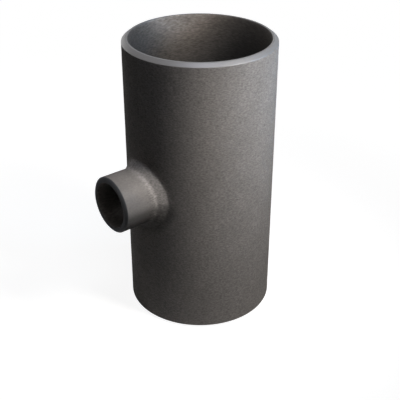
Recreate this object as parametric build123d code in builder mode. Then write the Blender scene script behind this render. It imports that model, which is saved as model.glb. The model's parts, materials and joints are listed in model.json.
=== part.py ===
from build123d import *
import math
import os

# Reducing butt weld tee, DN 80 by DN 25, forged in one piece from carbon steel.
# All sizes are in millimetres. The origin is where the two axes cross, +Z runs
# along the main pipe (the run), and +X runs along the branch and out of its mouth.

# Run: a plain barrel with the outside diameter of the pipe that is welded to it
run_od = 88.9
run_wall = 3.6
centre_to_end = 86.0

# Branch: a shorter, smaller outlet, square to the run
branch_od = 33.7
branch_wall = 3.2
centre_to_outlet = 66.0

# Neck: the metal drawn out of the run's wall into the branch. Its flank reaches as
# far up the branch as it reaches out over the barrel, a blend eases it into both,
# and the crotch radius rounds the edge between the two bores.
neck_leg = 3.9
neck_blend = 3.0
crotch_radius = 3.0

# Weld ends: a bevel, measured from the plane of the end face, and the flat land
# that is left between it and the bore
bevel_angle = 37.5
run_land = 1.2
branch_land = 2.0

# Sizes that follow from the ones above
run_radius = run_od / 2
run_bore_radius = run_radius - run_wall
run_land_radius = run_bore_radius + run_land
branch_radius = branch_od / 2
branch_bore_radius = branch_radius - branch_wall
branch_land_radius = branch_bore_radius + branch_land
bevel_slope = math.tan(math.radians(bevel_angle))
run_bevel_start = centre_to_end - (run_radius - run_land_radius) * bevel_slope
branch_bevel_start = centre_to_outlet - (branch_radius - branch_land_radius) * bevel_slope

os.makedirs("parts", exist_ok=True)

with BuildPart() as tee:
    # Barrel: half its outline, with a bevel and a land at each end, turned about Z.
    # The outline is drawn at -X, so the seam it leaves is away from the branch.
    with BuildSketch(Plane.XZ):
        with BuildLine():
            Polyline(
                (0, -centre_to_end),
                (-run_land_radius, -centre_to_end),
                (-run_radius, -run_bevel_start),
                (-run_radius, run_bevel_start),
                (-run_land_radius, centre_to_end),
                (0, centre_to_end),
                close=True,
            )
        make_face()
    revolve(axis=Axis.Z)

    # Branch: half its outline, with its own bevel and land, turned about X
    with BuildSketch(Plane.XZ):
        with BuildLine():
            Polyline(
                (0, 0),
                (0, -branch_radius),
                (branch_bevel_start, -branch_radius),
                (centre_to_outlet, -branch_land_radius),
                (centre_to_outlet, 0),
                close=True,
            )
        make_face()
    revolve(axis=Axis.X)

    # Neck, outside: the saddle curve where the branch leaves the barrel becomes a
    # flank, and the flank's crest and toe are eased into the two cylinders
    saddle = tee.edges().filter_by(GeomType.BSPLINE)
    chamfer(saddle, length=neck_leg)
    crest_and_toe = tee.edges().filter_by(GeomType.BSPLINE).filter_by(lambda edge: edge.is_closed)
    fillet(crest_and_toe, radius=neck_blend)

    # Bores: one through the run from end to end, one from the outlet to its axis
    Hole(radius=run_bore_radius)
    with Locations(Plane(origin=(centre_to_outlet, 0, 0), z_dir=(1, 0, 0))):
        Hole(radius=branch_bore_radius, depth=centre_to_outlet)

    # Neck, inside: the edge where the branch's bore opens into the run's is rounded
    mouth = tee.edges(Select.LAST).filter_by(GeomType.BSPLINE)
    fillet(mouth, radius=crotch_radius)

tee.part.label = "tee"
export_step(tee.part, "parts/tee.step")
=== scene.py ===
"""Reducing butt weld tee, shot-blasted carbon steel with machined weld ends.

One operator makes the fitting's surface and its finishes, another its stage.
Lengths are in metres. The origin is where the two axes cross, +Z runs along the
run (the barrel), and +X along the branch and out of its mouth.
"""

import json
import math

import bpy
import numpy as np
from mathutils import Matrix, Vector


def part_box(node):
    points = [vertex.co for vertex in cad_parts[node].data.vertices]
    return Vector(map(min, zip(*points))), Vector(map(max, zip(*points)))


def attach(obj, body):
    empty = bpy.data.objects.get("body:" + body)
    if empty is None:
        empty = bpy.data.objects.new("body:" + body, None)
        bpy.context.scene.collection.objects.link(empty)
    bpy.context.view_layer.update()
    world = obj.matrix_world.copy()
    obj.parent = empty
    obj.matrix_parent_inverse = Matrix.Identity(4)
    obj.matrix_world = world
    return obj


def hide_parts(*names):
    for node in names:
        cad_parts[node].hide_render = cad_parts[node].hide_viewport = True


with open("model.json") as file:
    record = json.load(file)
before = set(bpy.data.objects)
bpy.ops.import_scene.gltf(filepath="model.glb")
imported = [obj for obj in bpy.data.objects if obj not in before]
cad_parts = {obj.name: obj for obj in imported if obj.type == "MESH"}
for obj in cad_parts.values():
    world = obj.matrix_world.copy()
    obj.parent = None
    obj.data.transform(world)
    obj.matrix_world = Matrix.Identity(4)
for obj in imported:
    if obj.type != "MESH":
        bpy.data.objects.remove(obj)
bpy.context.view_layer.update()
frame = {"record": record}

bl_info = {
    "name": "Reducing butt weld tee",
    "version": (1, 0, 0),
    "blender": (4, 5, 0),
    "location": "3D View > Sidebar > Tee",
    "description": "Makes a reducing butt weld tee in shot-blasted steel, and a studio round it",
    "category": "Add Mesh",
}

MM = 0.001
NODE = "tee"
BODY = "root"
SKIN, RUN_END, BORE, BRANCH_END = range(4)
# Half the side of the square on the barrel inside which its points follow rays about the branch
WINDOW = 26 * MM
# How many grid steps apart the points are beyond that: up the outside, up the inside, and round
FAR_OUTSIDE, FAR_INSIDE, FAR_ROUND = 1.2, 2, 2.4
# Steps across an eased edge, a bevel, a land, a part of the neck, the crotch and the branch's wall
EDGE_STEPS, BEVEL_STEPS, LAND_STEPS, NECK_STEPS, CROTCH_STEPS, WALL_STEPS = 3, 3, 2, 5, 8, 16
# Steps from the outside window to the neck, and from the crotch to the inside window
OUTER_STEPS, INNER_STEPS = 8, 10
# Passes in which the neck's leg and the crotch's reach settle, as each depends on its own end point
LEG_PASSES, CROTCH_PASSES = 6, 8
LOW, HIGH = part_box(NODE)
BORES = {mount["name"]: mount["dims"].get("r_mm", 0) * MM for mount in frame["record"]["mounts"]}


def linear(hex_code):
    """An sRGB hex colour as linear RGB: ((c + 0.055) / 1.055) to the power 2.4, or c / 12.92 near black."""
    channels = np.array([int(hex_code[place : place + 2], 16) for place in (1, 3, 5)]) / 255
    return tuple(np.where(channels > 0.04045, ((channels + 0.055) / 1.055) ** 2.4, channels / 12.92))


def length(name, description, default):
    """A length that a user may change."""
    settings = {"default": default, "unit": "LENGTH", "precision": 5}
    return bpy.props.FloatProperty(name=name, description=description, **settings)


def colour(name, description, hex_code):
    """A colour that a user may change."""
    return bpy.props.FloatVectorProperty(
        name=name, description=description, default=linear(hex_code), subtype="COLOR", min=0, max=1
    )


def angle(name, description, degrees):
    """An angle that a user may change."""
    settings = {"default": math.radians(degrees), "unit": "ROTATION"}
    return bpy.props.FloatProperty(name=name, description=description, **settings)


class TeeSizes(bpy.types.PropertyGroup):
    """Sizes of the fitting. Outer ones and bores are the frame's own."""

    run_radius: length("Run radius", "Outside radius of the barrel", -LOW.x)
    half_length: length("Centre to end", "From the branch's axis to each end of the barrel", HIGH.z)
    outlet: length("Centre to outlet", "From the run's axis to the end of the branch", HIGH.x)
    run_bore: length("Run bore", "Inside radius of the barrel", BORES["run_bore"])
    branch_bore: length("Branch bore", "Inside radius of the branch", BORES["branch_bore"])
    branch_wall: length("Branch wall", "Thickness of the branch's wall", 3.2 * MM)
    run_land: length("Run land", "Width of the flat ring at each end of the barrel", 1.2 * MM)
    branch_land: length("Branch land", "Width of the flat ring at the branch's end", 2.0 * MM)
    bevel: angle("Bevel", "Angle of the weld bevels from the end face", 37.5)
    neck_leg: length("Neck leg", "Reach of the neck's flank up the branch and over the barrel", 3.9 * MM)
    neck_blend: length("Neck blend", "Radius at the crest and the toe of the neck's flank", 3.0 * MM)
    crotch: length("Crotch radius", "Radius of the edge between the two bores", 3.0 * MM)
    edge: length("Edge break", "How far each machined edge is eased", 0.16 * MM)
    grid: length("Grid", "Spacing of the surface's points", 1.0 * MM)
    # Depth from each open end over which the painted light inside the bore fades
    bore_light_reach: length("Blast reach", "How deep the blast cleaned the inside, from each open end", 12 * MM)
    # Direction of the side of the bore that gets the most painted light
    bore_highlight_side: angle("Blast side", "Direction of the side of the bore that the blast cleaned best", 247)
    relief: length("Relief", "Depth of the unevenness that forming left in the skin", 0.05 * MM)


class TeeColours(bpy.types.PropertyGroup):
    """Colours of the finishes."""

    skin: colour("Skin", "Blasted outside of the fitting", "#807c79")
    # Dark scale of the inside, which also serves as painted shade deep in the bore and under the branch
    scale: colour("Scale", "Scale that forming left inside the fitting and under the branch", "#3a3938")
    # Colour of the painted light inside the bore, near its open ends
    bore_painted_light: colour("Cleaned", "Inside of the fitting, where the blast has cleaned it", "#a69b91")
    run_end: colour("Run end", "Turned weld ends of the barrel", "#706f6f")
    # A darker copy of the turned steel: painted shade on the branch's weld end
    shaded_branch_end: colour("Branch end", "Turned weld end of the branch", "#5f6062")
    floor: colour("Floor", "Plain studio floor", "#a6a6a5")


class StudioSettings(bpy.types.PropertyGroup):
    """The camera and the floor."""

    bearing: angle("Bearing", "Direction of the camera from the run's axis, from +X towards +Y", 51.12)
    away: length("Away", "Level distance from the run's axis to the camera", 448.3 * MM)
    rise: length("Rise", "Height of the camera above the branch's axis", 239.2 * MM)
    aim: length("Aim", "Height of the point of the run's axis that the camera looks at", -20.4 * MM)
    lens: bpy.props.FloatProperty(
        name="Lens", description="Focal length in millimetres", default=74.45, unit="CAMERA"
    )
    floor_reach: length("Floor reach", "From the middle of the floor to its edges", 4.0)
    veil: bpy.props.FloatProperty(
        name="Veil", description="White of the floor beside the fitting", default=0.9, min=0, max=1
    )
    veil_start: length("Veil start", "Distance from the origin up to which the veil is thinnest", 0.1)
    veil_end: length("Veil end", "Distance from the origin from which the floor is all white", 0.3)


def joined(*stretches):
    """Stretches of a section, each (rows, 2, rays), end to end. A stretch starts with the last row of the
    one before."""
    return np.concatenate([stretches[0], *[stretch[1:] for stretch in stretches[1:]]])


def straight(start, end, steps):
    """Evenly spaced rows from one row of points to another: start + t (end - start)."""
    t = np.linspace(0, 1, steps + 1)[:, None, None]
    return start + t * (end - start)


def eased(start, corner, end, steps):
    """Rows of a round that eases a corner: a conic with the corner as its middle control point. Its
    weight is the cosine of half the turn, so equal tangents make it an arc of a circle."""
    a = corner - start
    b = end - corner
    turn = np.arccos(np.clip((a * b).sum(0) / np.linalg.norm(a, axis=0) / np.linalg.norm(b, axis=0), -1, 1))
    weight = np.cos(turn / 2)
    t = np.linspace(0, 1, steps + 1)[:, None, None]
    parts = (1 - t) ** 2, 2 * t * (1 - t) * weight, t**2
    return (parts[0] * start + parts[1] * corner + parts[2] * end) / (parts[0] + parts[1] + parts[2])


def unit(vector):
    """Rows of (2, rays) vectors brought to length 1."""
    return vector / np.linalg.norm(vector, axis=0)


def turned_edge(before, corner, after, reach):
    """A machined edge, eased over reach on both sides of its corner."""
    start = corner + reach * unit(before - corner)
    end = corner + reach * unit(after - corner)
    return eased(start, corner, end, EDGE_STEPS)


def weld_end(outer, outer_top, land, bore, face, reach, rays):
    """Section of a weld end, from the outside over the bevel and the land to the bore, as (radius,
    height) rows."""
    corners = np.array([(outer, outer_top), (land, face), (bore, face)])[:, :, None] * np.ones(rays)
    below = corners[0] - [[0], [1]]
    inside = corners[2] - [[0], [1]]
    crown = turned_edge(below, corners[0], corners[1], reach)
    lip = turned_edge(corners[0], corners[1], corners[2], reach)
    rim = turned_edge(corners[1], corners[2], inside, reach)
    bevel = straight(crown[-1], lip[0], BEVEL_STEPS)
    return joined(crown, bevel, lip, straight(lip[-1], rim[0], LAND_STEPS), rim)


def barrel_height(radius, distance, slope):
    """Height of the barrel's surface over its own axis, at a distance from the branch's axis along a ray
    with this cosine: the root of radius squared minus (distance times cosine) squared."""
    return np.sqrt(radius**2 - (distance * slope) ** 2)


def barrel_tangent(radius, distance, slope):
    """Direction of the barrel's surface there, outward along the ray."""
    fall = -distance * slope**2 / barrel_height(radius, distance, slope)
    return unit(np.stack([np.ones_like(slope), fall]))


def on_barrel(radius, distance, slope):
    """The point (distance, height) of the barrel's surface on each ray."""
    return np.stack([distance * np.ones_like(slope), barrel_height(radius, distance, slope)])


def reach_out(radius, start, slope, leg):
    """Distance from the branch's axis at which the barrel's surface is one leg away from the point at
    start. Each pass takes the leg's square, less the square of the drop, as the square of the way out."""
    distance = start + leg * np.ones_like(slope)
    for _ in range(LEG_PASSES):
        drop = barrel_height(radius, start, slope) - barrel_height(radius, distance, slope)
        distance = start + np.sqrt(leg**2 - drop**2)
    return distance


def meet(point, direction, other, other_direction):
    """Where two lines cross: the point moved along its direction by cross(other - point, other_direction)
    over cross(direction, other_direction)."""

    def cross(a, b):
        return a[0] * b[1] - a[1] * b[0]

    return point + direction * cross(other - point, other_direction) / cross(direction, other_direction)


def neck_section(sizes, slope):
    """The neck's outside on each ray, from the barrel up to the branch: the toe's round, the flank, the
    crest's round. The flank has equal legs on both surfaces, measured from the saddle curve where they
    would cross."""
    radius, start = sizes.run_radius, sizes.branch_bore + sizes.branch_wall
    saddle = barrel_height(radius, start, slope)
    crest = np.stack([start * np.ones_like(slope), saddle + sizes.neck_leg])
    toe_distance = reach_out(radius, start, slope, sizes.neck_leg)
    toe = on_barrel(radius, toe_distance, slope)
    flank = unit(crest - toe)
    along = barrel_tangent(radius, toe_distance, slope)
    toe_turn = np.arccos(-(along * flank).sum(0))
    crest_turn = np.arccos(flank[1])
    toe_tangent = sizes.neck_blend * np.tan(toe_turn / 2)
    crest_tangent = sizes.neck_blend * np.tan(crest_turn / 2)
    outer = on_barrel(radius, reach_out(radius, toe_distance, slope, toe_tangent), slope)
    corner = meet(toe, flank, outer, barrel_tangent(radius, outer[0], slope))
    up_flank = corner + flank * np.linalg.norm(outer - corner, axis=0)
    toe_round = eased(outer, corner, up_flank, NECK_STEPS)
    up_branch = crest + crest_tangent * np.array([[0], [1]])
    crest_round = eased(crest - flank * crest_tangent, crest, up_branch, NECK_STEPS)
    return joined(toe_round, straight(toe_round[-1], crest_round[0], NECK_STEPS), crest_round)


def crotch_section(sizes, slope):
    """The edge between the bores on each ray, from the branch's bore down to the run's. The round's
    tangents are made equal in a few passes, so that it is an arc."""
    radius, start = sizes.run_bore, sizes.branch_bore
    reach = sizes.crotch * np.ones_like(slope)
    for _ in range(CROTCH_PASSES):
        outer = on_barrel(radius, start + reach, slope)
        along = barrel_tangent(radius, outer[0], slope)
        corner = outer - along * (outer[0] - start) / along[0]
        half_turn = np.arccos(-along[1]) / 2
        reach = sizes.crotch * np.tan(half_turn) * along[0]
    tangent = np.linalg.norm(outer - corner, axis=0)
    return eased(corner + tangent * np.array([[0], [1]]), corner, outer, CROTCH_STEPS)


def heights(top, near, far):
    """Heights of a wall's rows from bottom to top, near apart beside the branch and far apart beyond it."""
    inner = np.linspace(-WINDOW, WINDOW, 2 * round(WINDOW / near) + 1)
    outer = np.linspace(WINDOW, top, round((top - WINDOW) / far) + 1)[1:]
    return np.concatenate([-outer[::-1], inner, outer])


def barrel_rows(sizes):
    """The barrel's closed section as (radius, height) rows: up its outside, over the top end, down the
    bore and under the bottom end. Also the finish between each row and the next, and the rows that cross
    each window."""
    land = sizes.run_bore + sizes.run_land
    shoulder = sizes.half_length - (sizes.run_radius - land) * math.tan(sizes.bevel)
    top = weld_end(sizes.run_radius, shoulder, land, sizes.run_bore, sizes.half_length, sizes.edge, 1)
    top = top[:, :, 0]
    up = heights(shoulder - sizes.edge, sizes.grid, FAR_OUTSIDE * sizes.grid)
    down = heights(sizes.half_length - sizes.edge, sizes.grid, FAR_INSIDE * sizes.grid)[::-1]
    outside = np.stack([np.full_like(up, sizes.run_radius), up], axis=1)
    inside = np.stack([np.full_like(down, sizes.run_bore), down], axis=1)
    rows = np.concatenate([outside, top[1:-1], inside, top[-2:0:-1] * (1, -1)])
    spans = len(up) - 1, len(top) - 1, len(down) - 1, len(top) - 1
    beside_branch = np.flatnonzero(np.abs(rows[:, 1]) < WINDOW + sizes.edge)
    outer_rows = beside_branch[beside_branch < len(up)]
    inner_rows = beside_branch[beside_branch >= len(up)][::-1]
    return rows, np.repeat((SKIN, RUN_END, BORE, RUN_END), spans), outer_rows, inner_rows


def patch(radius, window, ring, steps):
    """Rows on a cylinder of this radius, from the edge of a window to a ring round the branch, both given
    as (3, rays) points. A ray runs straight between them once the cylinder is unrolled."""
    start = np.stack([np.arctan2(window[1], window[0]), window[2]])
    end = np.stack([np.arctan2(ring[1], ring[0]), ring[2]])
    turn, height = straight(start, end, steps).transpose(1, 0, 2)
    return np.stack([radius * np.cos(turn), radius * np.sin(turn), height], axis=1)


def branch_rows(sizes, outer_window, inner_window):
    """Rows of (3, rays) points from the outer window over the neck, up the branch, round its weld end,
    down its bore and out to the inner window, and the finish between each row and the next. A ray is a
    half plane through the branch's axis, and its points stand at (height, distance times cosine, distance
    times sine)."""
    ray = np.arctan2(outer_window[2], outer_window[1])
    slope = np.cos(ray)

    def placed(section):
        return np.stack([section[:, 1], section[:, 0] * slope, section[:, 0] * np.sin(ray)], axis=1)

    outer = sizes.branch_bore + sizes.branch_wall
    land = sizes.branch_bore + sizes.branch_land
    shoulder = sizes.outlet - (outer - land) * math.tan(sizes.bevel)
    end = weld_end(outer, shoulder, land, sizes.branch_bore, sizes.outlet, sizes.edge, len(ray))
    neck = neck_section(sizes, slope)
    crotch = crotch_section(sizes, slope)
    skin = placed(joined(neck, straight(neck[-1], end[0], WALL_STEPS)))
    turned = placed(end)
    hollow = placed(joined(straight(end[-1], crotch[0], WALL_STEPS), crotch))
    outside = patch(sizes.run_radius, outer_window, skin[0], OUTER_STEPS)
    inside = patch(sizes.run_bore, hollow[-1], inner_window, INNER_STEPS)
    rows = np.concatenate([outside, skin[1:], turned[1:], hollow[1:], inside[1:]])
    spans = len(outside) + len(skin) - 2, len(turned) - 1, len(hollow) + len(inside) - 2
    return rows, np.repeat((SKIN, BRANCH_END, BORE), spans)


def round_window(rows, columns):
    """Row and column numbers once round a window, counter-clockwise seen from outside the barrel."""
    across, along = len(columns) - 1, len(rows) - 1
    i = rows[:-1], np.full(across, rows[-1]), rows[:0:-1], np.full(across, rows[0])
    j = np.full(along, columns[-1]), columns[:0:-1], np.full(along, columns[0]), columns[:-1]
    return np.concatenate(i), np.concatenate(j)


def quads(numbers, finish):
    """Faces of a grid of point numbers, (rows, columns), that closes on itself across its columns, and
    the finish of each. A face points the way the columns run crossed with the way the rows run."""
    right = np.roll(numbers, -1, axis=1)
    faces = np.stack([numbers[:-1], right[:-1], right[1:], numbers[1:]], axis=-1)
    return faces, np.repeat(finish[:, None], numbers.shape[1], axis=1)


def tee_surface(sizes):
    """The whole skin of the fitting: points, quads and the finish of each quad. Two families of rows make
    it. The barrel's closed section is turned about Z, with a square window outside and one inside at the
    branch, and the branch's section is carried on rays about X from the edge of one window to the edge of
    the other."""
    section, finish, outer_rows, inner_rows = barrel_rows(sizes)
    half = WINDOW / sizes.run_radius
    window_columns = np.arange(2 * round(WINDOW / sizes.grid) + 1)
    far_columns = 2 * round((math.pi - half) * sizes.run_radius / sizes.grid / FAR_ROUND)
    turn = np.linspace(-half, half, len(window_columns))
    turn = np.append(turn, np.linspace(half, 2 * math.pi - half, far_columns + 1)[1:-1])
    radius, height = section[:, :, None].transpose(1, 0, 2)
    barrel = np.stack(np.broadcast_arrays(radius * np.cos(turn), radius * np.sin(turn), height), axis=-1)

    numbers = np.arange(barrel[..., 0].size).reshape(barrel.shape[:2])
    barrel_faces, barrel_finish = quads(np.concatenate([numbers, numbers[:1]]), finish)
    kept = np.ones(barrel_faces.shape[:2], bool)
    for rows in (outer_rows, inner_rows):
        kept[rows.min() : rows.max(), : len(window_columns) - 1] = False

    outer_edge = round_window(outer_rows, window_columns)
    inner_edge = round_window(inner_rows, window_columns)
    branch, finish = branch_rows(sizes, barrel[outer_edge].T, barrel[inner_edge].T)
    fresh = branch[1:-1].transpose(0, 2, 1).reshape(-1, 3)
    fresh_numbers = numbers.size + np.arange(len(fresh)).reshape(len(branch) - 2, -1)
    branch_numbers = np.concatenate([numbers[outer_edge][None], fresh_numbers, numbers[inner_edge][None]])
    branch_faces, branch_finish = quads(branch_numbers, finish)

    points = np.concatenate([barrel.reshape(-1, 3), fresh])
    faces = np.concatenate([barrel_faces[kept], branch_faces.reshape(-1, 4)])
    used, faces = np.unique(faces, return_inverse=True)
    return points[used], faces.reshape(-1, 4), np.append(barrel_finish[kept], branch_finish)


def outward(points, faces):
    """Normal at each point: the sum of the normals of its faces, each the cross of the face's diagonals."""
    corners = points[faces]
    normals = np.cross(corners[:, 2] - corners[:, 0], corners[:, 3] - corners[:, 1])
    total = np.zeros_like(points)
    np.add.at(total, faces, normals[:, None])
    return total / np.linalg.norm(total, axis=1, keepdims=True)


def waves(points, wavelength, seed, count=64):
    """Smooth random height from 0 to 1 at each point: plane waves whose wave numbers are 0.6 to 1.5
    times this wavelength's, in random directions and phases, added up and squeezed by a hyperbolic
    tangent."""
    chance = np.random.default_rng(seed)
    direction = chance.normal(size=(3, count))
    direction /= np.linalg.norm(direction, axis=0)
    number = 2 * math.pi / wavelength * chance.uniform(0.6, 1.5, count)
    total = np.cos(points @ (direction * number) + chance.uniform(0, 2 * math.pi, count)).sum(axis=1)
    return 0.5 + 0.5 * np.tanh(total * math.sqrt(2 / count))


def smooth(share):
    """A share from 0 to 1 with its ends eased: 3 share squared - 2 share cubed."""
    return share**2 * (3 - 2 * share)


def from_branch_axis(points, sizes):
    """Each point's distance from the branch's axis, kept off 0 so that it can divide."""
    return np.maximum(np.hypot(points[:, 1], points[:, 2]), sizes.edge)


def flank_gap(points, sizes, out):
    """Each point's distance from the ring that runs round the neck's flank, this far out from the branch.
    There the flank stands about the rest of its leg above the barrel."""
    distance = from_branch_axis(points, sizes)
    ring = sizes.branch_bore + sizes.branch_wall + out
    height = barrel_height(sizes.run_radius, ring, points[:, 1] / distance) + sizes.neck_leg - out
    return np.hypot(distance - ring, points[:, 0] - height)


def painted_crest_highlight_share(points, sizes):
    """1 on the crest, where the neck's flank meets the branch and a highlight is painted, and 0 from two
    fifths of a neck leg away.
    """
    return np.clip(1 - flank_gap(points, sizes, 0) / (0.4 * sizes.neck_leg), 0, 1)


def neck_share(points, sizes):
    """1 within 0.7 of a neck leg from the middle of the flank, which is the flank, and 0 one leg beyond."""
    return smooth(np.clip(1.7 - flank_gap(points, sizes, sizes.neck_leg / 2) / sizes.neck_leg, 0, 1))


def painted_underside_shade_share(points, sizes):
    """1 on the underside of the branch and its neck, and 0 on top of them and on the barrel one and a half
    neck legs beyond the neck: where shade is painted under the branch. The rise above the branch's axis
    over the distance from it turns it from 0 to 1 between 0.18 and -0.22, about 10 degrees above the axis
    and 13 below."""
    distance = from_branch_axis(points, sizes)
    under = np.clip((0.18 - points[:, 2] / distance) / 0.4, 0, 1)
    toe = sizes.branch_bore + sizes.branch_wall + sizes.neck_leg
    near = np.clip(1 - (distance - toe) / (1.5 * sizes.neck_leg), 0, 1)
    return smooth(np.where(points[:, 0] > 0, under * near, 0))


def bore_painted_light_share(points, to_end, sizes):
    """Painted light inside the bore, a pool near the open ends: e to the power of minus the depth from the
    nearest open end over the light's reach, times 2 on the side that gets most and down to 0.2 away from
    it, by the exponential of 9 (cosine of the turn from it - 1). The fall with depth is painted shade."""
    turn = np.arctan2(points[:, 1], points[:, 0]) - sizes.bore_highlight_side
    return np.exp(-to_end / sizes.bore_light_reach) * (0.2 + 1.8 * np.exp(9 * (np.cos(turn) - 1)))


def unevenness(points, to_end, neck):
    """Depth of the unevenness at each point, as a multiple of the relief: lumps 11 mm wide all over, and
    lumps 3.4 mm wide and 1.4 times as deep on the neck. There is none within 3 mm of an end, so that the
    turned edges stay true, and it is full from 7 mm."""
    depth = waves(points, 11 * MM, 1) + 1.4 * neck * waves(points, 3.4 * MM, 2)
    return depth * np.clip((to_end - 3 * MM) / (4 * MM), 0, 1)


def add_mesh(name, points, faces, finish, materials):
    """Puts a surface into a new mesh object at the origin, smooth shaded."""
    mesh = bpy.data.meshes.new(name)
    mesh.vertices.add(len(points))
    mesh.vertices.foreach_set("co", points.astype(np.float32).ravel())
    mesh.loops.add(faces.size)
    mesh.loops.foreach_set("vertex_index", faces.astype(np.int32).ravel())
    mesh.polygons.add(len(faces))
    mesh.polygons.foreach_set("loop_start", np.arange(0, faces.size, faces.shape[1], dtype=np.int32))
    mesh.polygons.foreach_set("material_index", finish.astype(np.int32))
    mesh.update(calc_edges=True)
    mesh.validate()
    mesh.shade_smooth()
    for material in materials:
        mesh.materials.append(material)
    piece = bpy.data.objects.new(name, mesh)
    bpy.context.scene.collection.objects.link(piece)
    return piece


def add(tree, kind, inputs=(), **settings):
    """Adds a node. Settings are its own properties, and inputs maps a socket to a value or to the socket
    feeding it."""
    node = tree.nodes.new(kind)
    for name, value in settings.items():
        setattr(node, name, value)
    for socket, value in dict(inputs).items():
        if isinstance(value, bpy.types.NodeSocket):
            tree.links.new(value, node.inputs[socket])
        else:
            node.inputs[socket].default_value = value
    return node


def new_material(name, metallic, roughness, specular):
    """A material with an empty node tree but for its shader and output."""
    material = bpy.data.materials.new(name)
    material.use_nodes = True
    tree = material.node_tree
    tree.nodes.clear()
    values = {"Metallic": metallic, "Roughness": roughness, "Specular IOR Level": specular}
    shader = add(tree, "ShaderNodeBsdfPrincipled", values)
    add(tree, "ShaderNodeOutputMaterial", {"Surface": shader.outputs["BSDF"]})
    return material, tree, shader


def join_finish(tree, shader, tone, factors, height, depth):
    """Joins a finish to the shader: its colour times each of its factors, and a bump this deep in metres
    where the height is 1."""
    for factor in factors:
        tone = add(tree, "ShaderNodeVectorMath", {0: tone, "Scale": factor}, operation="SCALE").outputs[0]
    bump = add(tree, "ShaderNodeBump", {"Height": height, "Distance": depth, "Strength": 1.0})
    tree.links.new(tone, shader.inputs["Base Color"])
    tree.links.new(bump.outputs["Normal"], shader.inputs["Normal"])


# In the materials, a noise's lumps are 1 / scale wide, round a mean of one half. A Map Range node gives
# To Min where its value is 0 and To Max where it is 1. A Mix node has its colours in sockets 6 and 7, and
# their mix in output 2.


def blasted_steel(colours):
    """Carbon steel, hot formed and then shot blasted: a dull, even grey that breaks up into a fine grain of
    peened dimples, coarser on the neck, which the forming stretches. The neck is lighter, partly by its
    grain and partly as a painted highlight, the crest has a painted highlight, and the underside of the
    branch painted shade."""
    material, tree, shader = new_material(
        "blasted_carbon_steel", metallic=0.05, roughness=0.45, specular=0.0
    )
    place = add(tree, "ShaderNodeTexCoord").outputs["Object"]
    neck, crest, branch, painted_underside_shade = [
        add(tree, "ShaderNodeAttribute", attribute_name=name).outputs["Fac"]
        for name in ("neck", "crest", "branch", "painted_underside_shade")
    ]
    # Shot of 0.5 mm leaves dimples too fine to show at arm's length, so the grain is drawn 0.6 mm high,
    # and 1.4 mm wide, as rolling draws it out round the barrel
    rolled = add(tree, "ShaderNodeMapping", {"Vector": place, "Scale": (0.43, 0.43, 1)}).outputs[0]
    inputs = {"Vector": rolled, "Scale": 1 / (0.6 * MM), "Detail": 2}
    grain = add(tree, "ShaderNodeTexNoise", inputs).outputs["Fac"]
    # The stretched skin of the neck is lumpy, 1.8 mm across. Its lumps lighten the tone, partly as its own
    # grain and partly as a painted highlight, and lighten it further on the crest as a painted highlight
    inputs = {"Vector": place, "Scale": 1 / (1.8 * MM), "Detail": 1}
    lumps = add(tree, "ShaderNodeTexNoise", inputs).outputs["Fac"]
    coarse = add(tree, "ShaderNodeMath", {0: lumps, 1: neck}, operation="MULTIPLY").outputs[0]
    height = add(tree, "ShaderNodeMath", {0: grain, 1: coarse}, operation="ADD").outputs[0]
    neck_grain_and_highlight = add(tree, "ShaderNodeMath", {0: coarse, 1: 0.8, 2: 1.0}, operation="MULTIPLY_ADD").outputs[0]
    crest_highlight = add(tree, "ShaderNodeMath", {0: lumps, 1: crest}, operation="MULTIPLY").outputs[0]
    painted_crest_highlight = add(tree, "ShaderNodeMapRange", {"Value": crest_highlight, "To Min": 1, "To Max": 1.35}).outputs[0]
    # Handling and the blast's own streaks leave patches a shade apart, 16 mm across
    inputs = {"Vector": place, "Scale": 1 / (16 * MM), "Detail": 3}
    patches = add(tree, "ShaderNodeTexNoise", inputs).outputs["Fac"]
    streaks = add(tree, "ShaderNodeMapRange", {"Value": patches, "To Min": 0.88, "To Max": 1.12}).outputs[0]
    # The grain goes 0.63 down and up from 1 on the barrel, and a third of that on the smoother branch
    dark = add(tree, "ShaderNodeMapRange", {"Value": branch, "To Min": 0.37, "To Max": 0.78}).outputs[0]
    light = add(tree, "ShaderNodeMapRange", {"Value": branch, "To Min": 1.63, "To Max": 1.22}).outputs[0]
    speckle = add(tree, "ShaderNodeMapRange", {"Value": grain, "To Min": dark, "To Max": light}).outputs[0]
    # Painted shade: the underside of the branch and its neck is mixed most of the way to the scale's dark
    # colour
    shade_share = add(tree, "ShaderNodeMapRange", {"Value": painted_underside_shade, "To Min": 0, "To Max": 0.62}).outputs[0]
    inputs = {0: shade_share, 6: (*colours.skin, 1), 7: (*colours.scale, 1)}
    skin = add(tree, "ShaderNodeMix", inputs, data_type="RGBA").outputs[2]
    join_finish(tree, shader, skin, (speckle, streaks, neck_grain_and_highlight, painted_crest_highlight), height, 0.06 * MM)
    return material


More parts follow.
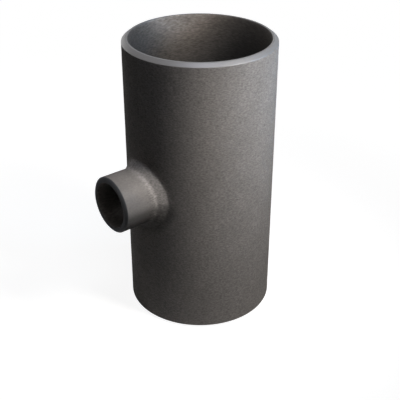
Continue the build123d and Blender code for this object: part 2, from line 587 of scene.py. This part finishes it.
def bore_steel(colours):
    """The inside, as formed over a mandrel: brown-black scale with faint hoops round the bore, and a
    painted pool of light near the open ends, brightest on one side and fading deeper in as painted shade."""
    material, tree, shader = new_material("bore_carbon_steel", metallic=0.4, roughness=0.5, specular=0.5)
    place = add(tree, "ShaderNodeTexCoord").outputs["Object"]
    # A hoop is 0.7 mm high and runs three times as far round
    squeezed = add(tree, "ShaderNodeMapping", {"Vector": place, "Scale": (0.3, 0.3, 1)}).outputs[0]
    inputs = {"Vector": squeezed, "Scale": 1 / (0.7 * MM), "Detail": 2}
    hoops = add(tree, "ShaderNodeTexNoise", inputs).outputs["Fac"]
    bands = add(tree, "ShaderNodeMapRange", {"Value": hoops, "To Min": 0.25, "To Max": 1.75}).outputs[0]
    # Painted light: lighter near the open ends and most on one side, darker deeper in as painted shade
    bore_painted_light = add(tree, "ShaderNodeAttribute", attribute_name="bore_painted_light").outputs["Fac"]
    inputs = {0: bore_painted_light, 6: (*colours.scale, 1), 7: (*colours.bore_painted_light, 1)}
    tone = add(tree, "ShaderNodeMix", inputs, data_type="RGBA").outputs[2]
    join_finish(tree, shader, tone, (bands,), hoops, 0.05 * MM)
    return material


def turned_steel(name, tone, metallic, roughness, specular):
    """The weld ends, turned on a lathe after blasting: bare steel with fine rings left by the tool. It is
    a soft bright line on the run's ends; on the branch's end a darker, dull copy stands as painted shade."""
    material, tree, shader = new_material(name, metallic, roughness, specular)
    across = add(tree, "ShaderNodeAttribute", attribute_name="across").outputs["Fac"]
    # The tool's feed is 0.15 mm a turn, and the rings are drawn at 0.3 mm so that they show
    inputs = {"W": across, "Scale": 1 / (0.3 * MM), "Detail": 1}
    rings = add(tree, "ShaderNodeTexNoise", inputs, noise_dimensions="1D").outputs["Fac"]
    bands = add(tree, "ShaderNodeMapRange", {"Value": rings, "To Min": 0.9, "To Max": 1.1}).outputs[0]
    join_finish(tree, shader, tone, (bands,), rings, 0.01 * MM)
    return material


# Square soft boxes with grids. The key lights the front from the right, the top lamp softens it, the edge
# lamp cools the right edge, and the back lamp draws the left one. Each looks at a point of the run's
# axis: its bearing from the camera's, anticlockwise seen from above, its elevation, its distance from
# that point, the point's height, its beam, its level and its tint. Angles are in degrees. The level is
# the strength of white that a white matt sheet shows at the point, facing the lamp.
LAMPS = {
    "key": (54, 50, 0.3, -0.02, 60, 1.5, "#fffcf8"),
    "top": (6, 75, 0.35, 0, 80, 0.25, "#ecf0ff"),
    "edge": (90, 20, 0.28, 0.075, 50, 0.75, "#94ccff"),
    "back": (-140, 8, 0.4, 0.03, 60, 0.2, "#ffffff"),
}
LAMP_SIDE = 90 * MM


def seen_directly(tree):
    """1 for a ray that shows the background: straight from the camera, off a gloss or through something
    clear."""
    path = add(tree, "ShaderNodeLightPath").outputs
    inputs = {0: path["Is Camera Ray"], 1: path["Is Glossy Ray"]}
    either = add(tree, "ShaderNodeMath", inputs, operation="MAXIMUM")
    inputs = {0: either.outputs[0], 1: path["Is Transmission Ray"]}
    return add(tree, "ShaderNodeMath", inputs, operation="MAXIMUM").outputs[0]


def studio_floor(studio, colours):
    """Plain matt board. What sees it as a background sees it through a white veil, which is thinnest
    beside the fitting, so that the shadow stays, and is all white further out."""
    material = bpy.data.materials.new("matt_board")
    material.use_nodes = True
    tree = material.node_tree
    tree.nodes.clear()
    board = add(tree, "ShaderNodeBsdfDiffuse", {"Color": (*colours.floor, 1)})
    place = add(tree, "ShaderNodeTexCoord").outputs["Object"]
    away = add(tree, "ShaderNodeVectorMath", {0: place}, operation="LENGTH").outputs["Value"]
    reach = {"Value": away, "From Min": studio.veil_start, "From Max": studio.veil_end}
    white = add(tree, "ShaderNodeMapRange", {**reach, "To Min": studio.veil, "To Max": 1}).outputs[0]
    strength = add(tree, "ShaderNodeMath", {0: seen_directly(tree), 1: white}, operation="MULTIPLY")
    veil = add(tree, "ShaderNodeEmission", {"Color": (1, 1, 1, 1), "Strength": strength.outputs[0]})
    both = add(tree, "ShaderNodeAddShader", {0: board.outputs[0], 1: veil.outputs[0]})
    add(tree, "ShaderNodeOutputMaterial", {"Surface": both.outputs[0]})
    return material


def add_floor(studio, colours, level):
    """A square sheet of 8 by 8 quads at one level."""
    line = np.linspace(-studio.floor_reach, studio.floor_reach, 9)
    x, y = np.meshgrid(line, line)
    points = np.stack([x, y, np.full_like(x, level)], axis=-1).reshape(-1, 3)
    number = np.arange(x.size).reshape(x.shape)
    corners = number[:-1, :-1], number[:-1, 1:], number[1:, 1:], number[1:, :-1]
    faces = np.stack(corners, axis=-1).reshape(-1, 4)
    board = studio_floor(studio, colours)
    add_mesh("studio_floor", points, faces, np.zeros(len(faces)), [board])


def add_world():
    """White where it is seen as a background, and no light."""
    world = bpy.data.worlds.new("studio")
    world.use_nodes = True
    tree = world.node_tree
    tree.nodes.clear()
    white = add(tree, "ShaderNodeBackground", {"Color": (1, 1, 1, 1), "Strength": seen_directly(tree)})
    add(tree, "ShaderNodeOutputWorld", {"Surface": white.outputs[0]})
    bpy.context.scene.world = world


def toward(bearing, elevation):
    """Unit vector at a bearing from +X towards +Y and an elevation above the floor, both in radians."""
    level = math.cos(elevation)
    return Vector((level * math.cos(bearing), level * math.sin(bearing), math.sin(elevation)))


def add_lamp(name, from_camera, bearing, elevation, distance, aim, beam, level, tint):
    """A square soft box that looks at the run's axis. Its power is level times pi squared times the
    distance squared, and its grid, which gathers the light into a beam, takes the share half-beam over
    tangent of half-beam off that."""
    light = bpy.data.lights.new(name, "AREA")
    light.shape = "SQUARE"
    light.size = LAMP_SIDE
    light.spread = math.radians(beam)
    light.color = linear(tint)
    half = math.radians(beam) / 2
    light.energy = level * (math.pi * distance) ** 2 * (1 - half / math.tan(half))
    lamp = bpy.data.objects.new(name, light)
    away = toward(from_camera + math.radians(bearing), math.radians(elevation))
    lamp.location = away * distance + Vector((0, 0, aim))
    lamp.rotation_euler = away.to_track_quat("Z", "Y").to_euler()
    lamp.visible_camera = False
    bpy.context.scene.collection.objects.link(lamp)


def add_camera(studio):
    """The camera at the photograph's own viewpoint and lens."""
    camera = bpy.data.objects.new("camera", bpy.data.cameras.new("camera"))
    place = toward(studio.bearing, 0) * studio.away + Vector((0, 0, studio.rise))
    camera.location = place
    camera.rotation_euler = (place - Vector((0, 0, studio.aim))).to_track_quat("Z", "Y").to_euler()
    camera.data.lens = studio.lens
    bpy.context.scene.collection.objects.link(camera)
    bpy.context.scene.camera = camera


class MESH_OT_reducing_tee(bpy.types.Operator):
    """Make the fitting's surface and finishes in place of its plain solid"""

    bl_idname = "mesh.reducing_tee"
    bl_label = "Reducing tee"

    def execute(self, context):
        sizes, colours = context.scene.tee_sizes, context.scene.tee_colours
        points, faces, finish = tee_surface(sizes)
        neck = neck_share(points, sizes)
        height = np.abs(points[:, 2])
        to_end = np.minimum(sizes.outlet - points[:, 0], sizes.half_length - height)
        # Distance from the axis less distance along it, which tells the tool's rings on a weld end apart
        round_branch = np.hypot(points[:, 1], points[:, 2]) - points[:, 0]
        round_run = np.hypot(points[:, 0], points[:, 1]) - height
        sink = sizes.relief * unevenness(points, to_end, neck)
        points = points - outward(points, faces) * sink[:, None]
        past_neck = points[:, 0] - sizes.run_radius - sizes.neck_leg
        # What the finishes read at each point
        shares = {
            "neck": neck,
            # Where the neck's crest gets a painted highlight
            "crest": painted_crest_highlight_share(points, sizes),
            # Where shade is painted under the branch
            "painted_underside_shade": painted_underside_shade_share(points, sizes),
            "branch": np.clip(past_neck / sizes.neck_leg, 0, 1),
            # How much painted light the inside of the bore gets
            "bore_painted_light": bore_painted_light_share(points, to_end, sizes),
            "across": np.where(past_neck > 0, round_branch, round_run),
        }
        run_end = {"metallic": 0.65, "roughness": 0.48, "specular": 0.1}
        # The branch's end is a darker, dull copy of the run's ends: painted shade
        shaded_branch_end = {"metallic": 0.0, "roughness": 0.6, "specular": 0.06}
        finishes = (
            blasted_steel(colours),
            turned_steel("turned_run_end", colours.run_end, **run_end),
            bore_steel(colours),
            turned_steel("turned_branch_end", colours.shaded_branch_end, **shaded_branch_end),
        )
        piece = add_mesh("reducing_tee", points, faces, finish, finishes)
        for name, share in shares.items():
            attribute = piece.data.attributes.new(name, "FLOAT", "POINT")
            attribute.data.foreach_set("value", share.astype(np.float32))
        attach(piece, BODY)
        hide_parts(NODE)
        return {"FINISHED"}


class SCENE_OT_tee_studio(bpy.types.Operator):
    """Make the floor, the light and the camera"""

    bl_idname = "scene.tee_studio"
    bl_label = "Studio"

    def execute(self, context):
        studio, colours = context.scene.tee_studio, context.scene.tee_colours
        add_floor(studio, colours, LOW.z)
        add_world()
        for name, lamp in LAMPS.items():
            add_lamp(name, studio.bearing, *lamp)
        add_camera(studio)
        return {"FINISHED"}


class VIEW3D_PT_reducing_tee(bpy.types.Panel):
    """The operators that make the fitting and its studio"""

    bl_label = "Reducing tee"
    bl_space_type = "VIEW_3D"
    bl_region_type = "UI"
    bl_category = "Tee"

    def draw(self, context):
        for operator in OPERATORS:
            self.layout.operator(operator.bl_idname)


OPERATORS = MESH_OT_reducing_tee, SCENE_OT_tee_studio
SETTINGS = {"tee_sizes": TeeSizes, "tee_colours": TeeColours, "tee_studio": StudioSettings}


def register():
    for kind in (*SETTINGS.values(), *OPERATORS, VIEW3D_PT_reducing_tee):
        bpy.utils.register_class(kind)
    for name, kind in SETTINGS.items():
        setattr(bpy.types.Scene, name, bpy.props.PointerProperty(type=kind))


def unregister():
    for name in SETTINGS:
        delattr(bpy.types.Scene, name)
    for kind in (VIEW3D_PT_reducing_tee, *OPERATORS[::-1], *SETTINGS.values()):
        bpy.utils.unregister_class(kind)


def main():
    register()
    bpy.ops.mesh.reducing_tee()
    bpy.ops.scene.tee_studio()
    bpy.context.scene.view_settings.view_transform = "Standard"


if __name__ == "__main__":
    main()
